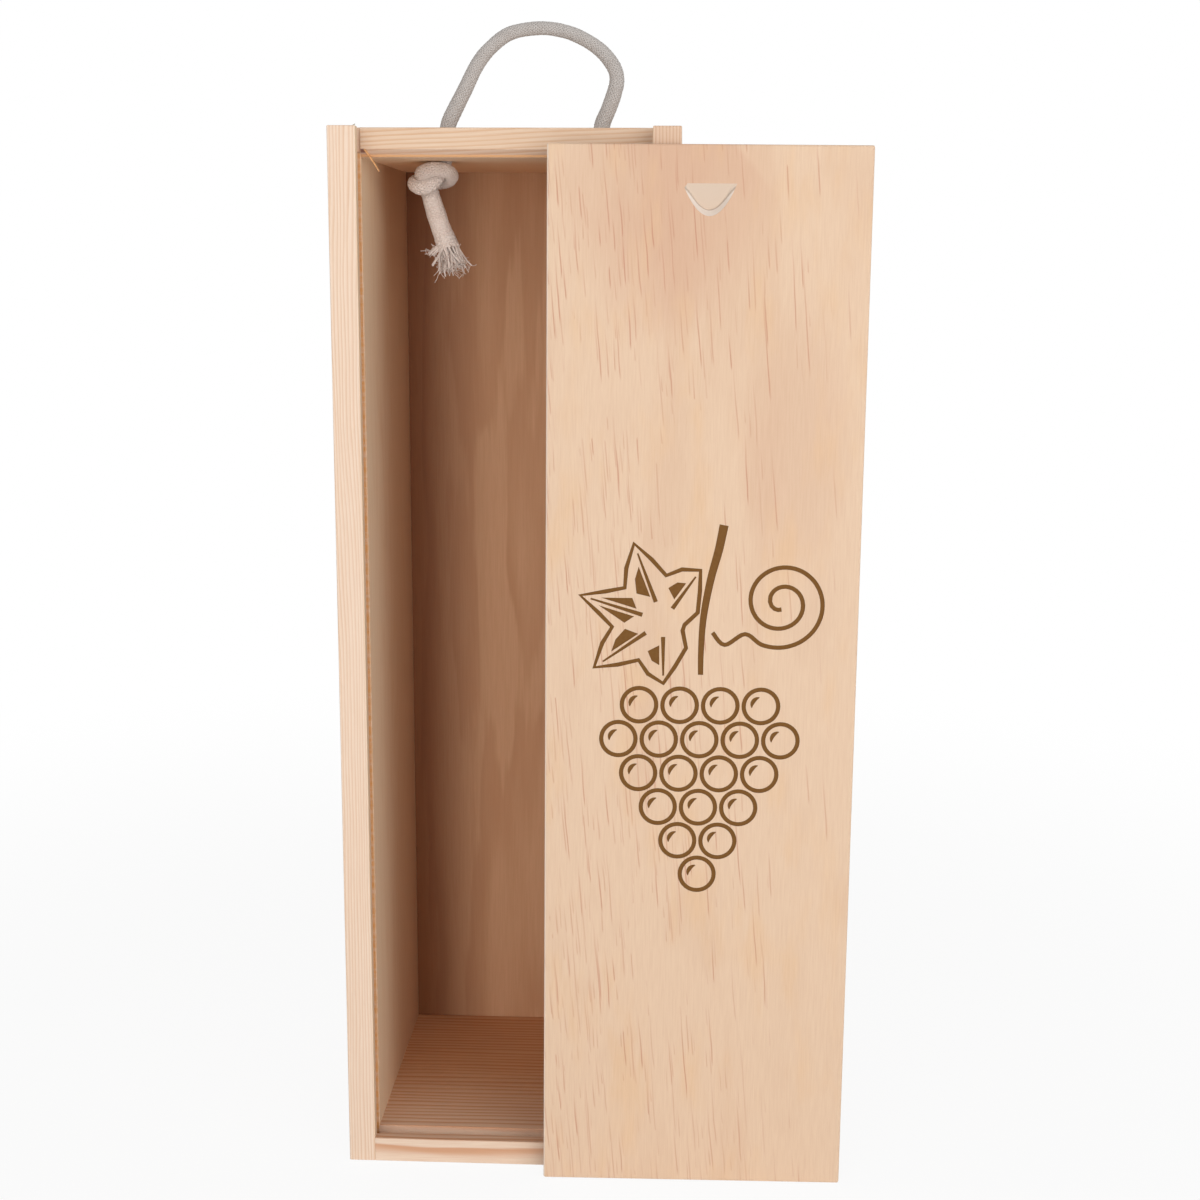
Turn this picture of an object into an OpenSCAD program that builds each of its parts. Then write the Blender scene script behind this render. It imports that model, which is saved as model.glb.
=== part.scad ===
// Wooden wine box: a case of grooved pine boards with its front open, the thin lid that slides down in the
// grooves from the top end, here drawn out and stood on the floor, leaning on the front of the case, and a
// cotton rope handle that is knotted inside.
// Millimetres, +Z up, -Y the open front. The origin is the middle of the case's underside.

/* [Case] */
// Width of the case over its side boards
case_w = 111; // [100:1:130]
// Depth of the case from its front lips to the outside of its back panel
case_d = 108; // [100:1:130]
// Height of the case
case_h = 350; // [330:1:400]
// Thickness of a side board
side_t = 9; // [8:0.5:12]
// Thickness of the top end board
top_t = 9.2; // [8:0.1:12]
// Thickness of the bottom end board
bottom_t = 8.5; // [8:0.1:12]
// Thickness of the back panel
back_t = 4.5; // [3.5:0.5:8]

/* [Lid groove] */
// Thickness of the lip in front of the groove
lip_t = 3.8; // [3:0.1:5]
// Width of the groove, from the lip to its back wall
groove_w = 6; // [5.4:0.1:8]
// Depth of the groove in the side boards
side_groove_d = 4.4; // [3.5:0.1:6]
// Depth of the groove in the end boards
end_groove_d = 2.6; // [2:0.1:4]
// How far the nose of the top end board stands out from the groove's back wall
nose_reach = 0.8; // [0.4:0.1:1.2]
// Height of the slope under that nose
nose_slope_h = 1.8; // [1:0.1:2.2]

/* [Lid] */
// Thickness of the lid
lid_t = 4.6; // [4:0.1:4.8]
// Clearance of the lid in its groove at each side
lid_gap = 0.5; // [0.2:0.1:0.8]
// Clearance under the foot of the lid when it is fully home
foot_gap = 0.1; // [0:0.1:0.5]
// Width of the finger notch at its straight upper edge
notch_w = 16.2; // [12:0.1:20]
// Height of the finger notch on the face of the lid
notch_h = 10; // [8:0.1:12]
// Slope of the notch's floor
notch_slope = 22; // [15:1:23]
// Distance of the notch below the top edge of the lid
notch_drop = 11.7; // [8:0.1:30]

/* [Lid stood in front] */
// Distance of the lid's left edge to the right of the case's middle
lid_aside = 12.9; // [-20:0.1:40]
// Distance of the lid's foot in front of the case, at its left corner
lid_ahead = 9; // [8:0.1:14]
// Turn of the lid seen from above
lid_turn = 1.3; // [0:0.1:1.5]
// Tip of the lid to the right
lid_tip = 0.2; // [0:0.1:0.5]
// Gap between the leaning lid and the case where they come closest
lean_gap = 0.3; // [0.2:0.1:1]

/* [Rope handle] */
// Diameter of the cotton rope
rope_d = 5.2; // [4:0.1:6]
// Distance between the two rope holes
rope_span = 51; // [40:1:60]
// Distance of the middle of the two holes to the right of the case's middle
rope_shift = 3.5; // [-5:0.5:5]
// Distance of the rope holes behind the front of the case
rope_back = 34; // [26:1:60]
// Clearance around the rope in its hole
rope_gap = 0.5; // [0.3:0.1:1.5]
// Gap under each end of the loop, above its hole
loop_gap = 0.3; // [0.2:0.1:0.6]
// Radius of the knot's upper turn
knot_r = 7.6; // [6.5:0.1:9]
// Turn of the right knot and its tail about their hole, from the way the left ones lie
right_knot_turn = 200; // [150:5:260]
// Length of the rope tail below its knot
tail_l = 18; // [12:1:30]
// Length of the frayed strands at the rope's end
fray_l = 7; // [5:0.5:12]
// Radius of the frayed strands' spread
fray_r = 7; // [5:0.5:9]

/* [Brads] */
// Shank diameter of a brad
brad_d = 1.2; // [1:0.1:1.6]
// Head diameter of a brad
brad_head_d = 2; // [1.8:0.1:3]
// Thickness of a brad's head
brad_head_t = 0.6; // [0.4:0.1:1]
// Length of the brads that join the boards
brad_l = 25; // [18:1:30]
// Length of the brads that hold the back panel
back_brad_l = 18; // [12:1:25]
// Clearance around a brad in the wood
brad_gap = 0.05; // [0.02:0.01:0.1]
// Brads in each corner joint
corner_brads = 3; // [2:1:4]
// Brads along each long edge of the back panel
edge_brads = 5; // [3:1:7]
// Distance of the outermost brads from the edges of the boards
brad_inset = 17; // [14:1:25]

/* [Hidden] */
$fn = 48;
BRAD_SIDES = 16;
// Straight steps along each half of the notch's curved edge
NOTCH_STEPS = 12;
// Extra length that carries a cut clean through a face
cut = 1;

front_y = -case_d / 2;
board_d = case_d - back_t;
back_y = front_y + board_d;
inside_w = case_w - 2 * side_t;
groove_back = lip_t + groove_w;
nose_y = groove_back - nose_reach;

// The lid fills its slot: side groove to side groove, bottom groove to the top of the case
lid_w = inside_w + 2 * (side_groove_d - lid_gap);
lid_l = case_h - (bottom_t - end_groove_d) - foot_gap;
// The lean that brings the top of the lid's back face to the right front corner of the case
lid_rear = lid_ahead - lid_t / cos(lid_turn) - tan(lid_turn) * (case_w / 2 - lid_aside);
lid_lean = asin((lid_rear - lean_gap) / lid_l);
lid_lift = lid_w * sin(lid_tip) * cos(lid_lean) + lid_t * sin(lid_lean);

rope_y = front_y + rope_back;
ceiling_z = case_h - top_t;
loop_axis_z = case_h + rope_d / 2 + loop_gap;
// The knot's lower turn lies beside and below the upper one
knot_side = 6;
knot_drop = 6;
knot_tilt = 24;
// The tail leaves the knot's lower turn on a slant
tail_side = 2.4;
tail_start = 8;
tail_slant = 19;

PINE = [0.91, 0.78, 0.62];
LID_PINE = [0.88, 0.72, 0.55];
COTTON = [0.80, 0.76, 0.70];
STEEL = [0.62, 0.62, 0.64];

// Route of the rope's loop from the left hole to the right: along X from the middle of the two holes, along Y
// from the holes' own line, and above the hinge line of the loop. The case and the holes carry it along.
LOOP = [[-25.5, 0, 0], [-23.5, 0.5, 5], [-20, 1, 11], [-15.5, 1.5, 19], [-11, 2, 24.5], [-4.5, 2, 29],
    [5, 1.5, 30.5], [13, 1, 29.5], [19.5, 0.5, 27], [25.5, 0, 23], [29.5, -0.5, 18], [30.5, -0.5, 14],
    [29.5, -0.5, 10], [27.5, 0, 5], [25.5, 0, 0]];
LOOP_SIDES = 10;
LOOP_STEPS = 3;
// Slices of each round end of the loop
END_SLICES = 3;

function on_curve(a, b, c, d, t) = 0.5 * (2 * b + (c - a) * t + (2 * a - 5 * b + 4 * c - d) * t * t
    + (3 * b - 3 * c + d - a) * t * t * t);
function route(points, steps) = let (last = len(points) - 1)
    [for (i = [0 : last - 1]) for (s = [0 : steps - 1])
        on_curve(points[max(i - 1, 0)], points[i], points[i + 1], points[min(i + 2, last)], s / steps),
     points[last]];
function unit(v) = v / norm(v);
function heading(path, i) = unit(path[min(i + 1, len(path) - 1)] - path[max(i - 1, 0)]);
// A ring of the tube: its normal stays square to Y, which the loop never follows
function ring(centre, along, r, sides) = let (across = unit(cross(along, [0, 1, 0])), up = cross(along, across))
    [for (s = [0 : sides - 1]) let (a = 360 * s / sides) centre + r * (cos(a) * across + sin(a) * up)];

// A tube along the path with round ends, as one closed solid
module tube(path, r, sides) {
    last = len(path) - 1;
    first_way = heading(path, 0);
    last_way = heading(path, last);
    bends = [for (k = [1 : END_SLICES]) 90 * k / (END_SLICES + 1)];
    rings = concat(
        [for (k = [END_SLICES - 1 : -1 : 0]) ring(path[0] - first_way * r * sin(bends[k]), first_way,
            r * cos(bends[k]), sides)],
        [for (i = [0 : last]) ring(path[i], heading(path, i), r, sides)],
        [for (k = [0 : END_SLICES - 1]) ring(path[last] + last_way * r * sin(bends[k]), last_way,
            r * cos(bends[k]), sides)]);
    rows = len(rings);
    points = [for (one = rings) each one];
    walls = [for (i = [0 : rows - 2]) for (s = [0 : sides - 1]) let (n = (s + 1) % sides)
        each [[i * sides + s, (i + 1) * sides + s, (i + 1) * sides + n], [i * sides + s, (i + 1) * sides + n,
            i * sides + n]]];
    caps = [[for (s = [0 : sides - 1]) s], [for (s = [sides - 1 : -1 : 0]) (rows - 1) * sides + s]];
    polyhedron(points, concat(walls, caps));
}

// A brad along +X from the face it was driven into, or the hole that takes it
module brad(l, grow = 0) {
    rotate([0, 90, 0]) {
        cylinder(h = l + grow, d = brad_d + 2 * grow, $fn = BRAD_SIDES);
        translate([0, 0, -grow]) cylinder(h = brad_head_t + grow, d = brad_head_d + 2 * grow, $fn = BRAD_SIDES);
    }
}

// The brads of one side board, driven towards +X into the ends of the end boards
module corner_brad_row(grow = 0) {
    for (z = [bottom_t / 2, case_h - top_t / 2]) for (i = [0 : corner_brads - 1])
        translate([-case_w / 2, front_y + groove_back + brad_inset
            + (board_d - groove_back - 2 * brad_inset) * i / (corner_brads - 1), z]) brad(brad_l, grow);
}

// The brads of one long edge of the back panel, driven forwards into the side board on the left
module edge_brad_row(grow = 0) {
    for (i = [0 : edge_brads - 1]) translate([-case_w / 2 + side_t / 2, front_y + case_d,
        brad_inset + (case_h - 2 * brad_inset) * i / (edge_brads - 1)]) rotate([0, 0, -90]) brad(back_brad_l, grow);
}

// The brads that hold the back panel to the two end boards
module end_brad_rows(grow = 0) {
    for (z = [bottom_t / 2, case_h - top_t / 2]) for (side = [-1, 1])
        translate([side * inside_w / 4, front_y + case_d, z]) rotate([0, 0, -90]) brad(back_brad_l, grow);
}

module side_board() {
    difference() {
        linear_extrude(case_h) translate([-case_w / 2, front_y]) difference() {
            square([side_t, board_d]);
            translate([side_t - side_groove_d, lip_t]) square([side_groove_d + cut, groove_w]);
        }
        corner_brad_row(brad_gap);
        edge_brad_row(brad_gap);
    }
}

// A board between the two side boards, drawn as its section from front to back
module end_board(section) {
    translate([-inside_w / 2, front_y, 0]) rotate([90, 0, 90]) linear_extrude(inside_w) polygon(section);
}

module rope_holes() {
    for (side = [-1, 1]) translate([rope_shift + side * rope_span / 2, rope_y, ceiling_z - cut])
        cylinder(h = top_t + 2 * cut, r = rope_d / 2 + rope_gap);
}

module brad_holes() {
    for (side = [0, 1]) mirror([side, 0, 0]) corner_brad_row(brad_gap);
    end_brad_rows(brad_gap);
}

module left_side_board() { color(PINE) side_board(); }
module right_side_board() { color(PINE) mirror([1, 0, 0]) side_board(); }

// The lid slides over this board, so it starts inside the groove and not at the lip
module top_end_board() {
    color(PINE) difference() {
        end_board([[nose_y, case_h], [nose_y, ceiling_z + end_groove_d],
            [groove_back, ceiling_z + end_groove_d - nose_slope_h], [groove_back, ceiling_z],
            [board_d, ceiling_z], [board_d, case_h]]);
        rope_holes();
        brad_holes();
    }
}

module bottom_end_board() {
    floor_z = bottom_t - end_groove_d;
    color(PINE) difference() {
        end_board([[0, 0], [board_d, 0], [board_d, bottom_t], [groove_back, bottom_t], [groove_back, floor_z],
            [lip_t, floor_z], [lip_t, bottom_t], [0, bottom_t]]);
        brad_holes();
    }
}

module back_panel() {
    color(PINE) difference() {
        translate([-case_w / 2, back_y, 0]) cube([case_w, back_t, case_h]);
        for (side = [0, 1]) mirror([side, 0, 0]) edge_brad_row(brad_gap);
        end_brad_rows(brad_gap);
    }
}

// The finger notch, cut by a rounded gouge that slopes down from its straight upper edge.
// Its outline is a parabola in the plane of the sloping floor.
module finger_notch() {
    floor_l = notch_h * cos(notch_slope);
    outline = [for (i = [-NOTCH_STEPS : NOTCH_STEPS]) let (u = i / NOTCH_STEPS)
        [u * notch_w / 2, -floor_l * (1 - u * u)]];
    translate([lid_w / 2, 0, lid_l - notch_drop]) rotate([90 + notch_slope, 0, 0])
        linear_extrude(lid_t + notch_h) polygon(outline);
}

module lid_panel() {
    color(LID_PINE) translate([lid_aside, front_y - lid_ahead, lid_lift]) rotate([0, 0, lid_turn])
        rotate([-lid_lean, 0, 0]) rotate([0, lid_tip, 0]) difference() {
            cube([lid_w, lid_t, lid_l]);
            finger_notch();
        }
}

module rope_loop() {
    color(COTTON) translate([rope_shift, rope_y, loop_axis_z])
        tube(route(LOOP, LOOP_STEPS), rope_d / 2, LOOP_SIDES);
}

// The stretch of rope inside one hole
module rope_run(side) {
    color(COTTON) translate([rope_shift + side * rope_span / 2, rope_y, ceiling_z])
        cylinder(h = top_t, d = rope_d);
}

// One turn of the knot: a disc with a fully rounded rim
module turn_of_rope(r) {
    rotate_extrude() {
        translate([0, -rope_d / 2]) square([r - rope_d / 2, rope_d]);
        translate([r - rope_d / 2, 0]) circle(d = rope_d);
    }
}

// The knot pulled up against the underside of the top end board, from its rope hole at the local origin
module knot_form() {
    difference() {
        union() {
            translate([-rope_d / 2, -rope_d / 2, -rope_d / 2]) turn_of_rope(knot_r);
            translate([-knot_side, -rope_d / 2, -knot_drop]) rotate([0, knot_tilt, 0])
                turn_of_rope(knot_r - rope_d / 4);
        }
        translate([-2 * knot_r, -2 * knot_r, 0]) cube([4 * knot_r, 4 * knot_r, 2 * knot_r]);
    }
}

// The rope's end below its knot, with the strands spread at its tip
module tail_form() {
    difference() {
        translate([-knot_side + tail_side, -rope_d / 2, -tail_start]) rotate([0, 180 - tail_slant, 0]) {
            cylinder(h = tail_l, d = rope_d);
            translate([0, 0, tail_l]) cylinder(h = fray_l, r1 = rope_d / 2, r2 = fray_r);
        }
        knot_form();
    }
}

// The right end of the rope hangs as the left one does, turned half round its hole
module at_rope_end(side) {
    translate([rope_shift + side * rope_span / 2, rope_y, ceiling_z]) rotate([0, 0, side > 0 ? right_knot_turn : 0])
        color(COTTON) children();
}

module left_rope_run() { rope_run(-1); }
module right_rope_run() { rope_run(1); }
module left_rope_knot() { at_rope_end(-1) knot_form(); }
module right_rope_knot() { at_rope_end(1) knot_form(); }
module left_rope_tail() { at_rope_end(-1) tail_form(); }
module right_rope_tail() { at_rope_end(1) tail_form(); }
module left_corner_brads() { color(STEEL) corner_brad_row(); }
module right_corner_brads() { color(STEEL) mirror([1, 0, 0]) corner_brad_row(); }
module left_back_brads() { color(STEEL) edge_brad_row(); }
module right_back_brads() { color(STEEL) mirror([1, 0, 0]) edge_brad_row(); }
module end_back_brads() { color(STEEL) end_brad_rows(); }

left_side_board();
right_side_board();
top_end_board();
bottom_end_board();
back_panel();
lid_panel();
rope_loop();
left_rope_run();
right_rope_run();
left_rope_knot();
right_rope_knot();
left_rope_tail();
right_rope_tail();
left_corner_brads();
right_corner_brads();
left_back_brads();
right_back_brads();
end_back_brads();
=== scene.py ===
# %% [markdown]
# # A pine wine box with a cotton rope handle
# The box is five pine boards nailed together, a thin lid that slides in grooves, and a rope that is knotted
# inside the top end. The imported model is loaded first, as a fixed frame: it says how big each board is and
# where it stands. Every new piece is built around it, in metres and in the same frame.

# %% Load the frame
import bmesh
import bpy
import math
import random
from mathutils import Matrix, Vector


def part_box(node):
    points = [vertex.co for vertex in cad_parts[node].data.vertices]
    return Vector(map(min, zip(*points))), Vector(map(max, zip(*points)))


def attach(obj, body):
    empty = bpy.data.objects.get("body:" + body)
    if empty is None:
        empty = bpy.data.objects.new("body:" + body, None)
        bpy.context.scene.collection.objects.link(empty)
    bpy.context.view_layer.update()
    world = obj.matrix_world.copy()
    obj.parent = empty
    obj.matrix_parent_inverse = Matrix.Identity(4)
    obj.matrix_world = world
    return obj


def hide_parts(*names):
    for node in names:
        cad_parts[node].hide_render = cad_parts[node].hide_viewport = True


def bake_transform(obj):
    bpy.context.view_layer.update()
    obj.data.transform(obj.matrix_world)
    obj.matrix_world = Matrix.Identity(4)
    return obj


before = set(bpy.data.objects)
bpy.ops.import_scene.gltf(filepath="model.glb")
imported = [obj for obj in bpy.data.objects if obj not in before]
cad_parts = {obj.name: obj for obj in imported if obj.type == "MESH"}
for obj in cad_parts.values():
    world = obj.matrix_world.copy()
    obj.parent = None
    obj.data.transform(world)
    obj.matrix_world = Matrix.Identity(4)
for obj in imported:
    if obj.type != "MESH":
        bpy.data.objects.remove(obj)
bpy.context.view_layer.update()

MM = 0.001

# %% [markdown]
# ## The camera
# The camera stands a little above the middle of the box and looks slightly down, from about 60 cm. It could
# be aimed with a constraint, but three vectors say exactly how it is turned: the line of sight, the way up,
# and their cross product, which points to the right of the picture.

# %% Camera
EYE = Vector((56.2, -617.9, 307.7)) * MM
SIGHT = Vector((-0.0441, 0.9814, -0.1870)).normalized()
TILT = -0.0052
LENS = 52.9
SENSOR = 36


def make_camera():
    up = Vector((TILT, 0, 1))
    right = SIGHT.cross(up).normalized()
    up = right.cross(SIGHT)
    camera = bpy.data.objects.new("camera", bpy.data.cameras.new("camera"))
    turn = Matrix((right, up, -SIGHT)).transposed()
    camera.matrix_world = Matrix.Translation(EYE) @ turn.to_4x4()
    camera.data.lens = LENS
    camera.data.sensor_width = SENSOR
    bpy.context.collection.objects.link(camera)
    bpy.context.scene.camera = camera
    return camera


camera = make_camera()
print("camera: lens", camera.data.lens, "mm")

# %% [markdown]
# ## The rope's route
# The rope is one soft thing, so its line is settled before its surface. The loop leaves the left hole, leans
# to the right, comes over in a flat bow and kinks before it goes down into the right hole. A smooth curve
# through a few given points is easier to correct than a formula.

# %% Loop route
RING_STEP = 0.55 * MM
LOOP_MIDDLE = Vector((3.5, -20, 352.9)) * MM
LOOP = [(-25.5, 0, -8), (-25.4, 0, -4), (-25, 0, 0), (-22.7, 0.5, 5), (-19.6, 1, 11), (-15.5, 1.5, 19),
        (-11, 2, 24.5), (-4.5, 2, 29), (5, 1.5, 30.5), (13, 1, 29.5), (19.5, 0.5, 27), (25.5, 0, 23),
        (29.5, -0.5, 18), (30.5, -0.5, 14), (29.7, -0.5, 10), (27.9, 0, 5), (25.8, 0, 0), (25.5, 0, -4),
        (25.5, 0, -8)]


def smooth_line(points, step):
    """The Catmull-Rom curve through the points, as points that lie about a step apart."""
    line = []
    for i in range(len(points) - 1):
        a, b = points[max(i - 1, 0)], points[i]
        c, d = points[i + 1], points[min(i + 2, len(points) - 1)]
        pieces = max(1, round((c - b).length / step))
        for k in range(pieces):
            t = k / pieces
            line.append(0.5 * (2 * b + (c - a) * t + (2 * a - 5 * b + 4 * c - d) * t ** 2
                               + (3 * b - 3 * c + d - a) * t ** 3))
    return line + [points[-1]]


def line_length(line):
    return sum((b - a).length for a, b in zip(line, line[1:]))


loop_line = smooth_line([LOOP_MIDDLE + Vector(p) * MM for p in LOOP], RING_STEP)
print("loop line:", round(line_length(loop_line) / MM), "mm in", len(loop_line), "points")

# %% [markdown]
# ## Braiding the rope
# A braided cotton cord has two sets of yarns that wind round it in opposite ways and pass over and under
# each other. A plain tube with a bumpy material would look right only from afar. Here each yarn is a spline
# of its own, wound round the line: its distance from the middle rises and falls once for every crossing,
# and the two sets do so in turn. Blender turns the splines into tubes, and a plain core closes the gaps.

# %% Braid
ROPE_D = 5.2 * MM
# The number of yarns that wind each way
YARNS = 12
YARN_R = 0.39 * MM
YARN_WAVE = 0.2 * MM
BRAID_PITCH = 14 * MM
braid_middle = ROPE_D / 2 - YARN_R - YARN_WAVE


def cross_frames(line):
    """Two directions square to the line at each of its points, carried along so that they never twist."""
    frames = []
    side = Vector((0, 1, 0))
    for i in range(len(line)):
        ahead = (line[min(i + 1, len(line) - 1)] - line[max(i - 1, 0)]).normalized()
        side = (side - ahead * side.dot(ahead)).normalized()
        frames.append((side, ahead.cross(side)))
    return frames


def yarn_lines(line, swell, wave):
    """The lines of all yarns of the braid round the given line, which swell makes wider or narrower."""
    frames = cross_frames(line)
    along = [0.0]
    for a, b in zip(line, line[1:]):
        along.append(along[-1] + (b - a).length)
    lines = []
    for way in (1, -1):
        for k in range(YARNS):
            points = []
            for p, s, wide, (side, up) in zip(line, along, swell, frames):
                turn = 2 * math.pi * s / BRAID_PITCH
                angle = way * turn + 2 * math.pi * k / YARNS
                out = wide * (braid_middle + way * wave * math.cos(YARNS * turn))
                points.append(p + out * (math.cos(angle) * side + math.sin(angle) * up))
            lines.append(points)
    return lines


print("braid:", 2 * YARNS, "yarns of", round(2 * YARN_R / MM, 2), "mm")

# %% [markdown]
# A curve object with a bevel depth is a tube, so the yarns need no faces of their own: their lines become
# splines, and the finished mesh is taken from the curve. The core is one more tube, with a material number
# of its own.


# %% Tubes
def add_spline(curve, points, radii):
    spline = curve.splines.new("POLY")
    spline.points.add(len(points) - 1)
    spline.points.foreach_set("co", [x for p in points for x in (*p, 1)])
    for point, radius in zip(spline.points, radii):
        point.radius = radius


def tubes(name, lines, radius, resolution=1, radii=None):
    """A mesh of one closed tube along each line. radii scales the radius at every point of every line."""
    curve = bpy.data.curves.new(name, "CURVE")
    curve.dimensions = "3D"
    curve.bevel_depth = radius
    curve.bevel_resolution = resolution
    curve.use_fill_caps = True
    for k, line in enumerate(lines):
        add_spline(curve, line, radii[k] if radii else ())
    holder = bpy.data.objects.new(name, curve)
    mesh = bpy.data.meshes.new_from_object(holder)
    bpy.data.objects.remove(holder)
    bpy.data.curves.remove(curve)
    mesh.name = name
    for face in mesh.polygons:
        face.use_smooth = True
    return mesh


def join_meshes(name, meshes):
    made = bmesh.new()
    for mesh in meshes:
        made.from_mesh(mesh)
        bpy.data.meshes.remove(mesh)
    joined = bpy.data.meshes.new(name)
    made.to_mesh(joined)
    made.free()
    return joined


def show(mesh, name):
    piece = bpy.data.objects.new(name, mesh)
    bpy.context.collection.objects.link(piece)
    return piece


# The number of the material that the core wears; the yarns wear number 0
CORE = 1


def braided_rope(name, line, swell, wave=YARN_WAVE):
    yarns = tubes(name, yarn_lines(line, swell, wave), YARN_R, radii=[swell] * 2 * YARNS)
    core = tubes(name, [line], braid_middle - YARN_WAVE, resolution=2, radii=[swell])
    for face in core.polygons:
        face.material_index = CORE
    return show(join_meshes(name, [yarns, core]), name)


# %% [markdown]
# The loop is squeezed wider where it comes out of the holes and pulled thinner over its top, and hands have
# pressed its yarns flat.

# %% Braided loop
SQUEEZED = 0.1
WORN_WAVE = 0.1 * MM
ring_count = len(loop_line)
loop_swell = [1 + SQUEEZED * math.cos(2 * math.pi * k / (ring_count - 1)) for k in range(ring_count)]
rope_loop = braided_rope("rope_handle", loop_line, loop_swell, WORN_WAVE)
print("rope loop:", len(rope_loop.data.polygons), "faces")

# %% [markdown]
# ## The knots
# Each end of the rope is an overhand knot, pulled up against the underside of the top board. Its line comes
# out of the hole, turns left, runs round behind, comes to the front again above itself and then dives
# through its own turn, which makes the two round lobes that one sees. The other end has the same knot,
# turned a little more than half round its hole. The points are measured from the hole's lower mouth.

# %% Knotted ends
HOLE_X = (-22 * MM, 29 * MM)
HOLE_Y = -20 * MM
CEILING = 340.8 * MM
KNOT = [(0, 0, 4.5), (-0.7, 0.1, 1), (-1.9, 0, -2), (-3.1, -0.9, -4.6), (-4.7, -2.1, -6.8),
        (-6.7, -2.7, -8.1), (-9.1, -1.9, -8.4), (-10.9, 0.2, -7.4), (-11.3, 3.2, -6.6), (-10, 6, -6.4),
        (-7.1, 7.6, -6.4), (-3.7, 7.3, -6.2), (-1.1, 5.3, -5.8), (0.6, 2.6, -5.2), (1.2, 0, -4.3),
        (0.6, -2.7, -3.4), (-1.5, -4.7, -2.8), (-4.1, -5.3, -2.7), (-6.3, -4.4, -3.2), (-7.8, -2.4, -3.9),
        (-8.1, -0.2, -4.5), (-7.6, 1.8, -5.4), (-6.8, 2.7, -7.4), (-6.2, 2.5, -10.3), (-4.6, 1.8, -15.5),
        (-2.5, 0.6, -21.5), (0.3, -0.7, -28.2)]
RIGHT_TURN = 200
# The rope swells as it comes undone below the knot
TAIL_SWELL = 0.47
TAIL_LENGTH = 36 * MM


def at_hole(points, x, degrees):
    """Points that are given from a rope hole's lower mouth, in the frame, turned about the hole."""
    place = Matrix.Translation((x, HOLE_Y, CEILING)) @ Matrix.Rotation(math.radians(degrees), 4, "Z")
    return [place @ (Vector(p) * MM) for p in points]


def knotted_end(name, x, degrees):
    line = smooth_line(at_hole(KNOT, x, degrees), RING_STEP)
    left = line_length(line)
    swell = []
    for a, b in zip(line, line[1:] + line[-1:]):
        swell.append(1 + TAIL_SWELL * max(0, 1 - left / TAIL_LENGTH))
        left -= (b - a).length
    return braided_rope(name, line, swell), line


left_end, left_line = knotted_end("left_rope_end", HOLE_X[0], 0)
right_end, right_line = knotted_end("right_rope_end", HOLE_X[1], RIGHT_TURN)
print("knotted ends:", [round(line_length(l) / MM) for l in (left_line, right_line)], "mm of rope each")

# %% [markdown]
# ## The frayed tips
# Below the cut the yarns come apart. Some go on nearly straight and end in a soft tangle, a few clumps stand
# off to one side, and single fibres stick out everywhere. They are splines again, thin and short, drawn with
# a seeded random generator so that every run gives the same tips.

# %% Frayed tips
STRANDS = 36
STRAND_R = 0.32 * MM
STRAND_STEP = 1.0 * MM
# The strands start this far up inside the cut end
ROOT = 1.5 * MM
# Each clump: the way it leans, how far it spreads and how many steps it is long
CLUMPS = (((-1.0, -0.2), 1.1, 5), ((-0.8, -0.5), 0.75, 8), ((-0.35, -0.8), 0.35, 9))
CLUMP_STRANDS = 4
FIBRES = 150
FIBRE_R = 0.09 * MM
FIBRE_STEP = 0.7 * MM
SEEDS = (5, 11)


def wander(draw, start, heading, steps, step, curl):
    """A line that starts along the heading and bends a little more at each step."""
    line = [start]
    bend = Vector([draw.gauss(0, curl) for _ in range(3)])
    for _ in range(steps):
        bend = 0.8 * bend + Vector([draw.gauss(0, curl) for _ in range(3)])
        heading = (heading + bend).normalized()
        line.append(line[-1] + heading * step)
    return line


def frayed_tip(name, line, seed):
    draw = random.Random(seed)
    end = line[-1]
    down = (end - line[-4]).normalized()
    side, up = cross_frames([line[-4], end])[1]
    strands, widths = [], []

    def strand(out, spread, steps, curl, thick):
        # Strands on the left stand off further, as on the real rope
        spread *= 0.6 - 0.4 * out.x
        start = end + out * braid_middle * (1 + TAIL_SWELL) * draw.uniform(0.4, 1.0) - down * ROOT
        raw = wander(draw, start, (down + out * spread).normalized(), steps, STRAND_STEP, curl)
        smooth = smooth_line(raw, 0.4 * STRAND_STEP)
        last = len(smooth) - 1
        strands.append(smooth)
        widths.append([thick * (1 - 0.3 * (i / last) ** 2) for i in range(last + 1)])

    for k in range(STRANDS):
        angle = 2 * math.pi * k / STRANDS + draw.uniform(-0.15, 0.15)
        out = math.cos(angle) * side + math.sin(angle) * up
        strand(out, draw.uniform(0.0, 0.45), draw.randrange(8, 11), 0.025, draw.uniform(0.8, 1.25))
    for (x, y), spread, steps in CLUMPS:
        for _ in range(CLUMP_STRANDS):
            out = Vector((x + draw.gauss(0, 0.08), y + draw.gauss(0, 0.08), draw.gauss(0, 0.1)))
            strand(out, spread * draw.uniform(0.85, 1.15), steps, 0.05, 1.3)
    tangle = []
    for _ in range(FIBRES):
        host = strands[draw.randrange(len(strands))]
        start = host[draw.randrange(len(host) // 2, len(host))]
        heading = down * draw.uniform(-0.4, 0.8) + Vector([draw.gauss(0, 0.7) for _ in range(3)])
        fibre = wander(draw, start, heading.normalized(), 5, FIBRE_STEP, 0.45)
        tangle.append(smooth_line(fibre, 0.5 * FIBRE_STEP))
    yarns = tubes(name, strands, STRAND_R, radii=widths)
    fibres = tubes(name, tangle, FIBRE_R, resolution=0)
    return show(join_meshes(name, [yarns, fibres]), name)


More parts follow.
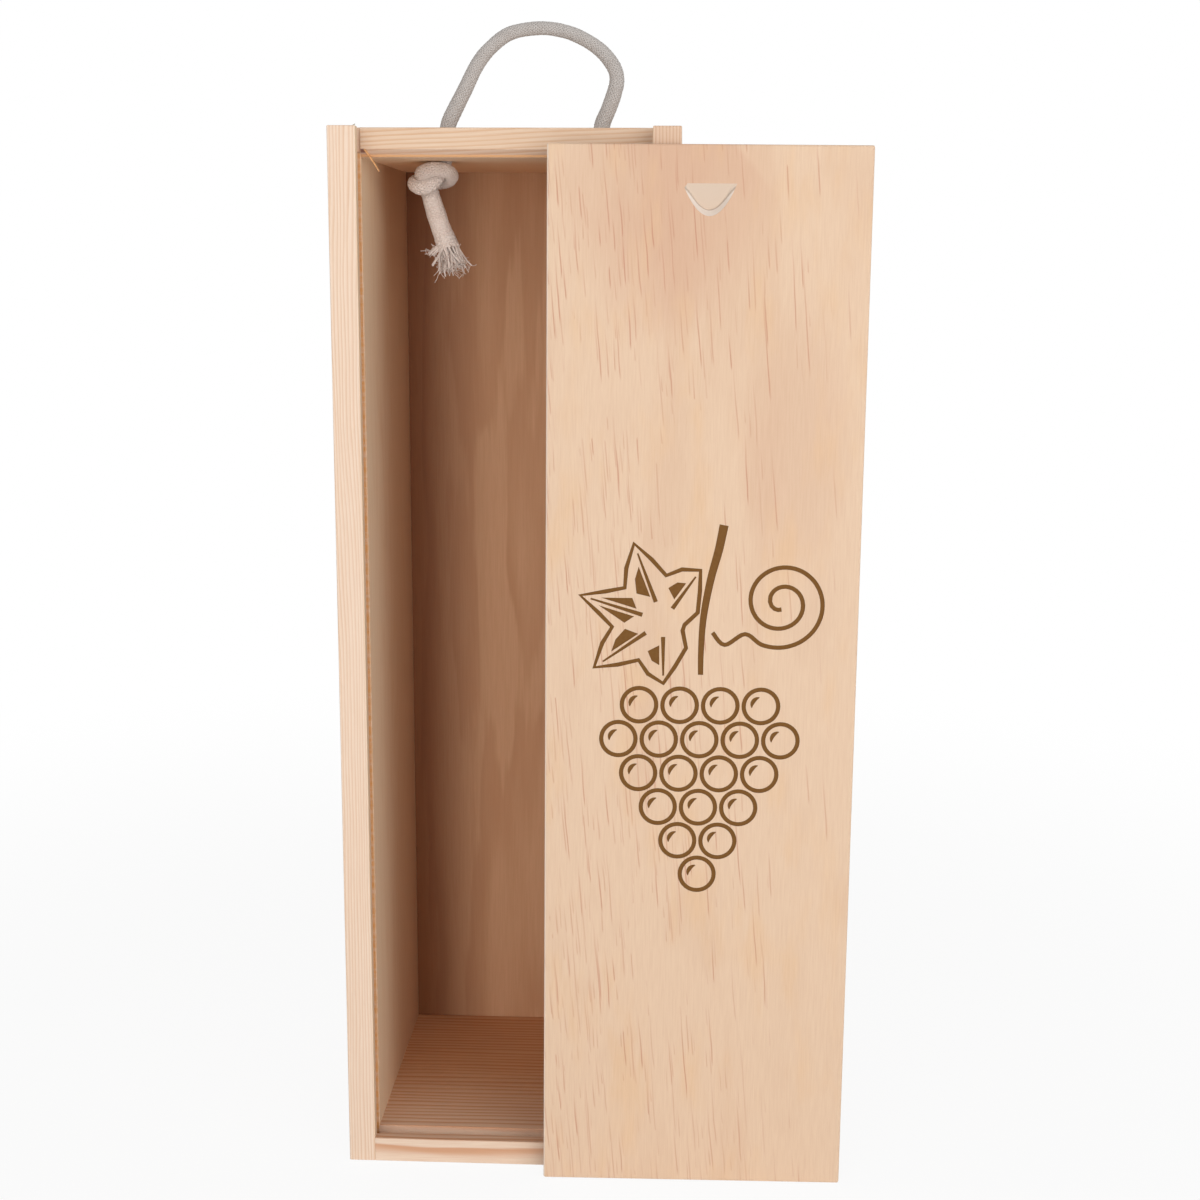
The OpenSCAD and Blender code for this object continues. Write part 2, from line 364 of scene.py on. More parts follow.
left_tip = frayed_tip("left_frayed_tip", left_line, SEEDS[0])
right_tip = frayed_tip("right_frayed_tip", right_line, SEEDS[1])
print("tips:", len(left_tip.data.polygons), "and", len(right_tip.data.polygons), "faces")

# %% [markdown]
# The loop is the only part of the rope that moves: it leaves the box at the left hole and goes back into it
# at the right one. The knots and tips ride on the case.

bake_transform(rope_loop)
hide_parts("rope_loop", "left_rope_run", "right_rope_run")
for side, end, tip in (("left", left_end, left_tip), ("right", right_end, right_tip)):
    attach(end, "case")
    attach(tip, "case")
    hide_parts(side + "_rope_knot", side + "_rope_tail")

# %% [markdown]
# ## Writing materials
# A material is a net of small nodes. Wiring each by hand hides the idea, so two small classes do it. Value is
# what comes out of a node, and adding or multiplying values puts Math nodes between them.


# %% Values
class Value:
    """What a shader node gives out. Arithmetic on it adds Math nodes."""

    def __init__(self, finish, socket):
        self.finish = finish
        self.socket = socket

    def maths(self, operation, *values):
        return self.finish.node("ShaderNodeMath", {"operation": operation}, dict(enumerate(values)))

    def __add__(self, other):
        return self.maths("ADD", self, other)

    def __radd__(self, other):
        return self.maths("ADD", other, self)

    def __sub__(self, other):
        return self.maths("SUBTRACT", self, other)

    def __rsub__(self, other):
        return self.maths("SUBTRACT", other, self)

    def __mul__(self, other):
        return self.maths("MULTIPLY", self, other)

    def __rmul__(self, other):
        return self.maths("MULTIPLY", other, self)

    def __truediv__(self, other):
        return self.maths("DIVIDE", self, other)

    def __pow__(self, other):
        return self.maths("POWER", self, other)

    def floor(self):
        return self.maths("FLOOR", self)

    def fract(self):
        return self.maths("FRACT", self)

    def size(self):
        return self.maths("ABSOLUTE", self)

    def most(self, other):
        return self.maths("MAXIMUM", self, other)

    def above(self, limit):
        return self.maths("GREATER_THAN", self, limit)

    def below(self, limit):
        return self.maths("LESS_THAN", self, limit)


# %% [markdown]
# Finish is one material: its node method makes any other node from its type, its settings and what its
# sockets take, and the methods after it name the few nodes that the box needs. Screen colours are turned
# into the linear ones that a shader works with.


# %% Finishes
class Finish:
    """One material: a Principled shader and the nodes that feed it."""

    def __init__(self, name, **constants):
        self.material = bpy.data.materials.new(name)
        self.material.use_nodes = True
        self.tree = self.material.node_tree
        self.shader = self.tree.nodes["Principled BSDF"]
        for socket, value in constants.items():
            self.shader.inputs[socket.replace("_", " ")].default_value = value

    def node(self, kind, settings=None, sockets=None, out=0):
        made = self.tree.nodes.new(kind)
        for name, value in (settings or {}).items():
            setattr(made, name, value)
        for name, value in (sockets or {}).items():
            self.plug(made.inputs[name], value)
        return Value(self, made.outputs[out])

    def plug(self, socket, value):
        if isinstance(value, Value):
            self.tree.links.new(value.socket, socket)
        else:
            socket.default_value = value

    def feed(self, **values):
        for socket, value in values.items():
            self.plug(self.shader.inputs[socket.replace("_", " ")], value)

    def place(self, origin=None):
        """The point on the piece in millimetres, in the frame or from the axes of the origin matrix."""
        point = self.node("ShaderNodeTexCoord", out="Object")
        if origin is not None:
            where = {"Location": origin.to_translation(), "Rotation": origin.to_euler()}
            point = self.node("ShaderNodeMapping", {"vector_type": "TEXTURE"}, {"Vector": point, **where})
        return self.vector("SCALE", point, Scale=1 / MM)

    def vector(self, operation, *values, out=0, **named):
        sockets = {**dict(enumerate(values)), **named}
        return self.node("ShaderNodeVectorMath", {"operation": operation}, sockets, out)

    def parts(self, vector):
        made = self.tree.nodes.new("ShaderNodeSeparateXYZ")
        self.plug(made.inputs[0], vector)
        return [Value(self, made.outputs[k]) for k in range(3)]

    def joined(self, x, y, z=0.0):
        return self.node("ShaderNodeCombineXYZ", None, {0: x, 1: y, 2: z})

    def noise(self, point, scale=1.0, detail=3.0, roughness=0.55):
        return self.node("ShaderNodeTexNoise", None,
                         {"Vector": point, "Scale": scale, "Detail": detail, "Roughness": roughness})

    def chance(self, x, y, out="Value"):
        return self.node("ShaderNodeTexWhiteNoise", {"noise_dimensions": "2D"},
                         {"Vector": self.joined(x, y)}, out)

    def ease(self, value, low, high, to=(0.0, 1.0)):
        """Goes smoothly between the two numbers of to while value goes from low to high."""
        sockets = {"Value": value, 1: low, 2: high, 3: to[0], 4: to[1]}
        return self.node("ShaderNodeMapRange", {"interpolation_type": "SMOOTHSTEP"}, sockets)

    def mix(self, factor, a, b, blend="MIX"):
        settings = {"data_type": "RGBA", "blend_type": blend}
        return self.node("ShaderNodeMix", settings, {0: factor, 6: a, 7: b}, 2)

    def bump(self, height, strength, distance):
        return self.node("ShaderNodeBump", None,
                         {"Height": height, "Strength": strength, "Distance": distance})


def colour(red, green, blue):
    """A screen colour of 0 to 255, as the linear colour that a shader takes."""
    return tuple((c / 255 / 12.92 if c <= 10 else ((c / 255 + 0.055) / 1.055) ** 2.4)
                 for c in (red, green, blue)) + (1.0,)


# %% [markdown]
# ## Cotton
# Raw cotton is a warm light grey, never even. The loop is painted greyer than the knots, and this grey is
# painted shade. All use one recipe with other colours, and a fine bump stands for the fibres that are too
# thin to model. The core of the knots is painted darker, painted shade, because little light gets between
# their yarns. The flat yarns of the loop leave no such gaps, and its core wears the loop's painted grey.


# %% Cotton
def cotton(name, dark, light, soiled):
    finish = Finish(name, Roughness=0.95, Specular_IOR_Level=0.15, Sheen_Weight=0.25, Sheen_Roughness=0.6)
    point = finish.place()
    fluff = finish.noise(point, 4.0, 4.0, 0.65)
    blotch = finish.noise(point, 0.3, 2.0)
    shade = finish.mix(finish.ease(fluff, 0.3, 0.7), dark, light)
    shade = finish.mix(finish.ease(blotch, 0.4, 0.65, (0.0, 0.5)), shade, soiled)
    finish.feed(Base_Color=shade, Normal=finish.bump(fluff, 0.5, 0.0002))
    return finish.material


def wear(piece, *materials):
    piece.data.materials.clear()
    for material in materials:
        piece.data.materials.append(material)


# The loop's greyer cotton is painted shade, and so is the knots' darker core.
loop_cotton_painted_shade = cotton("loop_cotton_painted_shade", colour(178, 171, 166), colour(200, 194, 189), colour(184, 176, 170))
clean_cotton = cotton("clean_cotton", colour(206, 188, 178), colour(238, 224, 214), colour(212, 192, 180))
core_cotton = cotton("core_cotton", colour(120, 108, 98), colour(140, 126, 114), colour(130, 114, 100))
worn = {rope_loop: (loop_cotton_painted_shade, loop_cotton_painted_shade), left_end: (clean_cotton, core_cotton),
        right_end: (clean_cotton, core_cotton), left_tip: (clean_cotton,), right_tip: (clean_cotton,)}
for piece, materials in worn.items():
    wear(piece, *materials)
print("cotton on", len(worn), "pieces")

# %% [markdown]
# ## Pine
# Wood has its pattern all through: the year rings are tubes round the tree's pith, and a board shows them as
# lines on one face, as wide arches on another and as arcs on its ends. So the pattern is worked out in space,
# from the distance to the pith, and every face gets the right cut of it by itself. Fine fibres run along the
# grain. Each noise is stretched by its divisors, in millimetres: two across the grain and a longer one along
# it. A dress function can add what only one board has.


# %% Pine
def pine(name, grain, pith, ring, light, dark, depth=1.0, tilt=0.0, origin=None, dress=None):
    """Pine whose pith is at the two numbers of pith, in the plane square to the grain. ring is the distance
    from one year to the next, both in millimetres."""
    finish = Finish(name, Specular_IOR_Level=0.3)
    x, y, z = finish.parts(finish.place(origin))
    a, b, along = (x, y, z) if grain == "Z" else (y, z, x)
    b = b + tilt * along
    slow = finish.noise(finish.joined(a / 26, b / 26, along / 210), 1.0, 2.0)
    ripple = finish.noise(finish.joined(a / 3.2, b / 3.2, along / 45), 1.0, 2.0)
    da, db = a - pith[0], b - pith[1]
    radius = (da * da + db * db) ** 0.5 + 9 * (slow - 0.5) + 1.1 * (ripple - 0.5)
    year = (radius / ring).fract()
    late = finish.ease(year, 0.3, 0.85) * finish.ease(year, 0.88, 1.0, (1.0, 0.0))
    patchy = finish.noise(finish.joined(a / 9, b / 9, along / 60), 1.0, 1.0)
    fibre = finish.noise(finish.joined(a / 0.35, b / 0.35, along / 14), 1.0, 3.0, 0.6)
    shade = finish.mix(late * depth * (0.5 + patchy), light, dark)
    shade = finish.mix(finish.ease(fibre, 0.3, 0.75, (0.0, 0.3)), shade, dark)
    height = 0.6 * fibre - 0.4 * late
    if dress:
        shade, height = dress(finish, (x, y, z), shade, height)
    finish.feed(Base_Color=shade, Roughness=0.52 + 0.2 * fibre, Normal=finish.bump(height, 0.35, 0.00015))
    return finish.material


# %% [markdown]
# ## Boards
# A board is a section pushed along its length. All arrises of real boards are a little rounded by sanding,
# which is what catches the light along every edge, so each board gets a small bevel. The sections repeat the
# solid model's: the side boards have the lid's groove near the front, the bottom board has it in its top
# face, and the top board starts behind it with a small nose.

# %% Board helpers
ARRIS = 0.35 * MM


def prism(section, along):
    """A closed bmesh: the flat section, a list of points, pushed by the vector along."""
    board = bmesh.new()
    face = board.faces.new([board.verts.new(p) for p in section])
    grown = bmesh.ops.extrude_face_region(board, geom=[face])["geom"]
    bmesh.ops.translate(board, vec=along, verts=[v for v in grown if isinstance(v, bmesh.types.BMVert)])
    bmesh.ops.recalc_face_normals(board, faces=board.faces)
    return board


def ease_edges(board, edges, width=ARRIS):
    bmesh.ops.bevel(board, geom=edges, offset=width, offset_type="OFFSET", affect="EDGES",
                    segments=2, profile=0.5, material=-1)


def outer_edges(board):
    """The edges where two faces meet in an outer corner."""
    return [e for e in board.edges if e.is_convex]


def finished(name, made, material):
    """Turns a bmesh into an object that wears the material."""
    mesh = bpy.data.meshes.new(name)
    made.to_mesh(mesh)
    made.free()
    mesh.materials.append(material)
    return show(mesh, name)


def drill(piece, cutters):
    """Takes the cutters out of the piece. The cut faces keep the cutters' materials."""
    for cutter in cutters:
        cut = piece.modifiers.new("cut", "BOOLEAN")
        cut.solver = "EXACT"
        cut.material_mode = "TRANSFER"
        cut.object = cutter
    shape = bpy.context.evaluated_depsgraph_get()
    shape.update()
    mesh = bpy.data.meshes.new_from_object(piece.evaluated_get(shape))
    piece.modifiers.clear()
    piece.data = mesh
    for cutter in cutters:
        bpy.data.objects.remove(cutter)


# %% [markdown]
# The sizes that the boards need are read from the frame: each node's box gives its outer corners, and only
# the measures of the grooves and of the top board's nose are written here.

# %% Board sizes
LIP = 3.8 * MM
GROOVE = 6 * MM
SIDE_GROOVE_DEPTH = 4.4 * MM
END_GROOVE_DEPTH = 2.6 * MM
NOSE_SLOPE = 1.8 * MM
left_lo, left_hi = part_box("left_side_board")
right_lo, right_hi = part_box("right_side_board")
top_lo, top_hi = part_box("top_end_board")
bottom_lo, bottom_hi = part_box("bottom_end_board")
back_lo, back_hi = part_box("back_panel")
front = left_lo.y
groove_front = front + LIP
groove_back = groove_front + GROOVE
print("case:", [round(s / MM, 1) for s in (right_hi.x - left_lo.x, back_hi.y - front, left_hi.z)], "mm")

# %% [markdown]
# ## Side boards
# The front edge shows a side board's year rings as fine, slightly wavy lines, because the board was cut
# from the side of the tree. Inside, the groove was milled and left rough, so it is darker and more orange,
# and the wall is painted a deeper brown towards the back: painted shade, where little light reaches it.


# %% Side boards
def inner_wall(inner, towards):
    """What the inner face of a side board adds; towards is 1 where the face looks along +X."""
    def dress(finish, place, shade, height):
        x, y, z = place
        past = towards * (inner / MM - x)
        rough = finish.noise(finish.joined(y / 0.9, z / 2.4), 1.0, 3.0, 0.7)
        groove = finish.ease(past, 0.1, 0.4) * finish.ease(past, 4.2, 4.6, (1.0, 0.0))
        groove = groove * finish.ease(y, front / MM + 3.2, front / MM + 4)
        ragged = groove_back / MM + 0.1 + 1.6 * (rough - 0.5)
        edge = finish.ease(past, 0.0, 0.2, (1.0, 0.0)) * finish.ease(y - ragged, 0.0, 0.5, (1.0, 0.0))
        edge = edge * finish.ease(y, groove_back / MM - 0.8, groove_back / MM - 0.3)
        wall = finish.ease(past, 0.1, 0.3, (1.0, 0.0)) * finish.ease(past, -0.3, -0.1)
        # Painted shade: the inner wall is painted a deeper brown towards the back.
        cloud = finish.noise(finish.joined(y / 5, z / 22), 1.0, 4.0, 0.6)
        deep = finish.ease(y + 14 * (cloud - 0.5), -46, 16)
        depth_painted_shade = finish.mix(deep, colour(237, 210, 177), colour(200, 158, 120))
        shade = finish.mix(0.8 * wall, shade, depth_painted_shade)
        fresh = finish.ease(z, top_lo.z / MM, top_lo.z / MM + 3, (1.0, 0.25))
        torn = (groove * fresh + edge) * finish.ease(rough, 0.3, 0.65, (0.5, 1.0))
        shade = finish.mix(torn, shade, colour(222, 160, 98))
        # Only the left board has a spot of dark pitch, at the top of its groove
        down = (z - top_lo.z / MM - 1.4) / 0.8
        out = (y - groove_back / MM + 1.4) / 1.7
        pitch = finish.ease(down * down + out * out + 1.6 * (rough - 0.5), 0.4, 1.2, (0.9, 0.0))
        shade = finish.mix(pitch * groove * (towards > 0), shade, colour(110, 62, 52))
        return shade, height - 0.7 * (groove + edge) * rough
    return dress


def side_board(name, outer_x, inner_x, node, material):
    """The section runs round the board seen from above; inner_x is the face with the groove."""
    floor_x = inner_x - math.copysign(SIDE_GROOVE_DEPTH, inner_x - outer_x)
    section = [(outer_x, front), (inner_x, front), (inner_x, groove_front), (floor_x, groove_front),
               (floor_x, groove_back), (inner_x, groove_back), (inner_x, left_hi.y), (outer_x, left_hi.y)]
    board = prism([(x, y, left_lo.z) for x, y in section], (0, 0, left_hi.z - left_lo.z))
    ease_edges(board, outer_edges(board))
    piece = finished(name, board, material)
    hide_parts(node)
    return piece


left_pine = pine("left_board_pine", "Z", (-150, -12), 0.95, colour(236, 212, 191), colour(222, 186, 156), 0.8,
                 dress=inner_wall(left_hi.x, 1))
right_pine = pine("right_board_pine", "Z", (150, 12), 1.0, colour(222, 193, 168), colour(204, 164, 134), 0.8,
                  dress=inner_wall(right_lo.x, -1))
left_board = side_board("left_board", left_lo.x, left_hi.x, "left_side_board", left_pine)
right_board = side_board("right_board", right_hi.x, right_lo.x, "right_side_board", right_pine)
print("side boards:", len(left_board.data.polygons), "faces each")

# %% [markdown]
# ## End boards
# The end boards lie between the side boards, so their grain runs across the box. Each is a section pushed
# across it, and only its long edges are rounded, because its ends are hidden against the side boards.


# %% End board shapes
def end_board(name, lo, hi, section, node, material):
    board = prism([(lo.x, y, z) for y, z in section], (hi.x - lo.x, 0, 0))
    ease_edges(board, [e for e in outer_edges(board) if abs(e.verts[0].co.x - e.verts[1].co.x) > MM])
    piece = finished(name, board, material)
    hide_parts(node)
    return piece


nose_z = top_lo.z + END_GROOVE_DEPTH
top_section = [(top_lo.y, top_hi.z), (top_lo.y, nose_z), (groove_back, nose_z - NOSE_SLOPE),
               (groove_back, top_lo.z), (top_hi.y, top_lo.z), (top_hi.y, top_hi.z)]
floor_z = bottom_hi.z - END_GROOVE_DEPTH
bottom_section = [(front, bottom_lo.z), (bottom_hi.y, bottom_lo.z), (bottom_hi.y, bottom_hi.z),
                  (groove_back, bottom_hi.z), (groove_back, floor_z), (groove_front, floor_z),
                  (groove_front, bottom_hi.z), (front, bottom_hi.z)]
print("end boards:", len(top_section), "and", len(bottom_section), "corners in their sections")

# %% [markdown]
# The saw met the top board's rings at a small angle, and its lines climb to the right. Under its front edge
# the slope of the milled nose is painted greyer as painted shade, with a rough orange strip below, and the
# underside behind it is painted more orange towards the back, also painted shade. The bottom board has wider
# rings, of which the front shows only one, and its upper face is painted darker towards the back as painted
# shade, like the walls.


# %% End boards
def milled_nose(finish, place, shade, height):
    """Under the top board's front edge: the slope of its nose in painted shade, then a rough orange strip,
    and the underside behind them painted more orange towards the back as painted shade.
    """
    x, y, z = place
    rough = finish.noise(finish.joined(x / 2.2, z / 0.5), 1.0, 4.0, 0.7)
    level = z - top_lo.z / MM + 0.5 * (rough - 0.5)
    before = finish.ease(y, groove_back / MM + 0.1, groove_back / MM + 0.3, (1.0, 0.0))
    nose_painted_shade = before * finish.ease(level, 2.4, 2.6, (1.0, 0.0))
    strip = before * finish.ease(level, 0.7, 1.0, (1.0, 0.0))
    # Painted shade: the slope of the nose is multiplied greyer.
    shade = finish.mix(nose_painted_shade, shade, colour(228, 222, 222), "MULTIPLY")
    shade = finish.mix(strip, shade, colour(210, 158, 112))
    off = (x - left_hi.x / MM - 0.6) / 1.7
    drop = (level - 1.9) / 0.7
    pitch = finish.ease(off * off + drop * drop + 1.6 * (rough - 0.5), 0.3, 1.1, (0.8, 0.0))
    shade = finish.mix(pitch, shade, colour(120, 70, 58))
    # Painted shade: behind the nose the underside is painted more orange towards the back.
    inner = finish.ease(level, 0.1, 0.3, (1.0, 0.0)) * (1 - before)
    depth_painted_shade = finish.mix(finish.ease(y, -44, 0), colour(245, 218, 188), colour(246, 204, 164))
    return finish.mix(inner, shade, depth_painted_shade), height


def floor_painted_shade(finish, place, shade, height):
    """The bottom board's upper face is painted darker as painted shade, more so towards the back."""
    inner = finish.ease(bottom_hi.z / MM - place[2], 0.1, 0.4, (1.0, 0.0))
    # Painted shade: the multiply grows stronger towards the back.
    deep = finish.ease(place[1], -44, 10, (0.35, 1.0))
    return finish.mix(inner * deep, shade, colour(236, 204, 172), "MULTIPLY"), height


top_pine = pine("top_board_pine", "X", (-30, 450), 1.55, colour(226, 199, 173), colour(208, 162, 124), 0.65,
                tilt=-0.04, dress=milled_nose)
foot_pine = pine("bottom_board_pine", "X", (-200, -28), 2.6, colour(232, 208, 186), colour(208, 158, 124),
                 0.85, dress=floor_painted_shade)
top_board = end_board("top_board", top_lo, top_hi, top_section, "top_end_board", top_pine)
bottom_board = end_board("bottom_board", bottom_lo, bottom_hi, bottom_section, "bottom_end_board", foot_pine)
print("end boards:", len(top_board.data.polygons), "and", len(bottom_board.data.polygons), "faces")

# %% [markdown]
# ## The back
# The back is one thin plain sheet, nailed on behind. The tree's pith is far behind it, so it shows its rings
# as a few wide arches, and its inner face is painted browner as painted shade.


# %% Back board
def back_painted_shade(finish, place, shade, height):
    """The back's inner face in painted shade, darkest on the left, where the side board keeps it in shade."""
    x, y, z = place
    inner = finish.ease(y, back_lo.y / MM + 0.1, back_lo.y / MM + 0.4, (1.0, 0.0))
    # Painted shade: the whole inner face is multiplied browner, and its left part darker again.
    shade = finish.mix(inner, shade, colour(248, 224, 204), "MULTIPLY")
    shaded = inner * finish.ease(x, -46, -12, (1.0, 0.0))
    return finish.mix(shaded, shade, colour(150, 116, 86), "MULTIPLY"), height


def make_back():
    corners = [(back_lo.x, back_lo.y), (back_hi.x, back_lo.y), (back_hi.x, back_hi.y), (back_lo.x, back_hi.y)]
    board = prism([(x, y, back_lo.z) for x, y in corners], (0, 0, back_hi.z - back_lo.z))
    ease_edges(board, board.edges)
    back_pine = pine("back_board_pine", "Z", (-10, 190), 2.4, colour(231, 203, 174), colour(208, 170, 138),
                     0.5, dress=back_painted_shade)
    piece = finished("back_board", board, back_pine)
    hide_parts("back_panel")
    return piece


back_board = make_back()
print("back board:", round((back_hi.y - back_lo.y) / MM, 1), "mm thick")

# %% [markdown]
# The rope holes go straight down through the top board. A cylinder is taken out of the board for each, a
# little wider than the rope.

# %% Rope holes
HOLE_R = 3.1 * MM


def rod(place, radius, length):
    """An upright cylinder that stands on the place and cuts a hole."""
    made = bmesh.new()
    bmesh.ops.create_cone(made, cap_ends=True, segments=32, radius1=radius, radius2=radius, depth=length)
    bmesh.ops.translate(made, vec=Vector(place) + Vector((0, 0, length / 2)), verts=made.verts)
    return finished("hole", made, top_pine)


drill(top_board, [rod((x, HOLE_Y, top_lo.z - MM), HOLE_R, top_hi.z - top_lo.z + 2 * MM) for x in HOLE_X])
print("top board:", len(top_board.data.polygons), "faces")

# %% [markdown]
# ## A splinter and a burr
# The mill has torn a thin sliver loose where the groove ends under the top board, and the saw has left a
# tiny burr on the left board. Each is a cone of a few sides, flattened and bent a little, so that it is
# thick where it hangs on and thin at its tip.

# %% Splinter and burr
# Each has a root and a tip
SPLINTER = (Vector((-45.2, -44.6, 343.2)) * MM, Vector((-40.6, -45.0, 336.4)) * MM)
BURR = (Vector((-47.8, -53.4, 349.6)) * MM, Vector((-46.5, -53.2, 350.4)) * MM)
FLATTENED = 0.45
BOWED = 0.07


def sliver(name, ends, thick, thin, colours):
    root, tip = ends
    made = bmesh.new()
    length = (tip - root).length
    bmesh.ops.create_cone(made, cap_ends=True, segments=6, radius1=thick, radius2=thin, depth=length)
    long_edges = [e for e in made.edges if abs((e.verts[0].co - e.verts[1].co).z) > length / 2]
    bmesh.ops.subdivide_edges(made, edges=long_edges, cuts=4)
    bmesh.ops.scale(made, vec=(1, FLATTENED, 1), verts=made.verts)
    for corner in made.verts:
        corner.co.x += BOWED * length * math.cos(math.pi * corner.co.z / length)
    turn = (tip - root).to_track_quat("Z", "Y").to_matrix()
    bmesh.ops.rotate(made, cent=(0, 0, 0), matrix=turn, verts=made.verts)
    bmesh.ops.translate(made, vec=(root + tip) / 2, verts=made.verts)
    return finished(name, made, pine(name + "_pine", "Z", (-150, 0), 0.9, *colours, 0.6))


slivers = [sliver("splinter", SPLINTER, 0.9 * MM, 0.45 * MM, (colour(228, 176, 122), colour(206, 146, 92))),
           sliver("burr", BURR, 0.5 * MM, 0.3 * MM, (colour(188, 176, 150), colour(140, 126, 108)))]
print("slivers:", [round((tip - root).length / MM, 1) for root, tip in (SPLINTER, BURR)], "mm long")

# %% [markdown]
# ## The lid
# The lid leans against the case, so it is built lying in its own axes and then put in place. Those axes come
# from three corners of the solid lid: the foot's left and right corners and the top left one.


# %% Lid axes
def lid_axes():
    corners = [v.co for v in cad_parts["lid_panel"].data.vertices]
    foot_left = min(corners, key=lambda c: c.x + c.y + c.z)
    foot_right = max(corners, key=lambda c: c.x - c.y - c.z)
    top_left = max(corners, key=lambda c: c.z - c.x - c.y)
    across, rise = foot_right - foot_left, top_left - foot_left
    x, z = across.normalized(), rise.normalized()
    turn = Matrix((x, z.cross(x), z)).transposed().to_4x4()
    return Matrix.Translation(foot_left) @ turn, across.length, rise.length


lid_place, LID_W, LID_L = lid_axes()
print("lid:", round(LID_W / MM, 1), "x", round(LID_L / MM, 1), "mm")

# %% [markdown]
# ## The lid's wood
# The lid is cut flat from the side of a fast-grown pine, so it has no ring lines, only soft clouds of pink
# and cream. What marks it are the resin canals: thin brown streaks, one to three centimetres long, which
# begin faintly, darken and stop. A grid of long narrow cells gives each streak its place, and white noise
# decides for every cell whether it has one, how long it is and how dark.


# %% Streaks and clouds
def streaks(finish, across, along, column, length, width, density, seed):
    """Thin streaks along the grain, at most one in each cell of a grid with shifted columns. The cells are
    column wide and length long, in millimetres, and density is the share of them that has a streak."""
    lane = across / column + seed
    number = lane.floor()
    row = along / length + 9.7 * finish.chance(number, seed)
    throw = finish.parts(finish.chance(number, row.floor() + 17.3 * seed, "Color"))
    away = (lane.fract() - 0.2 - 0.6 * throw[1]).size() * column
    line = finish.ease(away, width * 0.2, width * 0.8, (1.0, 0.0))
    reach = (1 - row.fract()) / (0.35 + 0.6 * throw[2])
    taper = finish.ease(reach, 0.0, 0.7) * finish.ease(reach, 0.85, 1.0, (1.0, 0.0))
    there = finish.ease(density - throw[0], 0.0, 0.06)
    return line * taper * there * (0.35 + 0.65 * throw[1])


def cloud(finish, u, v, middle, reach, ragged):
    """A soft spot round the middle on the lid's face."""
    du = (u - middle[0]) / reach[0]
    dv = (v - middle[1]) / reach[1]
    return finish.ease(du * du + dv * dv + ragged, 0.1, 1.3, (1.0, 0.0))


# %% [markdown]
# On the lid, u runs across it from its left edge, v up from its foot and y into its face. The streaks come in
# three sizes, lean a little and are dense on the left and rare on the right. A pink cloud lies round the
# notch, and a fainter one lower down on the right.


# %% Lid face
def lid_face(finish, place, shade, height):
    u, y, v = place
    soft = finish.noise(finish.joined(u / 24, v / 60), 1.0, 2.0)
    ragged = 1.3 * (soft - 0.5)
    cut_line = u - 58 - 0.8 * (LID_L / MM - v) + 5 * (soft - 0.5)
    pink = cloud(finish, u, v, (38, 336), (32, 50), ragged) * finish.ease(cut_line, -1.5, 1.5, (1.0, 0.25))
    pink = pink.most(0.5 * cloud(finish, u, v, (80, 252), (17, 45), ragged))
    shade = finish.mix(0.6 * pink, shade, colour(206, 163, 136))
    shade = finish.mix(finish.ease(soft, 0.5, 0.7, (0.0, 0.5)), shade, colour(216, 184, 156))
    warm = finish.noise(finish.joined(u / 11, v / 38, 8.2), 1.0, 3.0)
    shade = finish.mix(finish.ease(warm, 0.48, 0.75, (0.0, 0.55)), shade, colour(224, 186, 146))
    fibre = finish.noise(finish.joined(u / 0.5, v / 12), 1.0, 3.0, 0.7)
    shade = finish.mix(finish.ease(fibre, 0.3, 0.75, (0.0, 0.2)), shade, colour(194, 150, 120))
    # Painted highlight: a pale band along the lid's left edge, as if its rounded arris caught the light.
    painted_arris_highlight = finish.ease(u, 0.15, 0.65, (0.7, 0.0))
    shade = finish.mix(painted_arris_highlight, shade, colour(240, 226, 212))
    drift = finish.noise(finish.joined(u / 9, v / 30), 1.0, 2.0)
    slanted = u + 0.088 * v + 1.6 * drift
    crowd = finish.noise(finish.joined(u / 19, v / 46, 3.7), 1.0, 1.0)
    crowd = finish.ease(crowd, 0.33, 0.55) * (1.2 - 0.0118 * u)
    marks = streaks(finish, slanted, v, 2.4, 33, 0.4, 0.9 * crowd, 3)
    marks = marks.most(streaks(finish, slanted, v, 3.3, 50, 0.38, 0.85 * crowd, 11))
    marks = marks.most(0.6 * streaks(finish, slanted, v, 1.5, 16, 0.36, 0.6 * crowd, 23))
    faces = finish.ease(u, 0.1, 0.6) * finish.ease(LID_W / MM - u, 0.1, 0.6)
    shade = finish.mix(0.58 * marks * faces, shade, colour(184, 114, 90))
    return notch_look(finish, u, y, v, shade), height


# %% [markdown]
# The notch's own measures come next, because the wood inside it is paler than the face. Its wall is painted
# paler still, a painted highlight, and a darker line, painted shade, lies where its floor meets its wall. The
# cut faces could wear a second material instead, but with one material the fibres run on from the face into
# the notch without more work.

# %% Notch look
NOTCH_W = 17.2 * MM
NOTCH_H = 10 * MM
NOTCH_DROP = 11.7 * MM
NOTCH_DEPTH = 3.3 * MM
NOTCH_RIM = 1.6 * MM


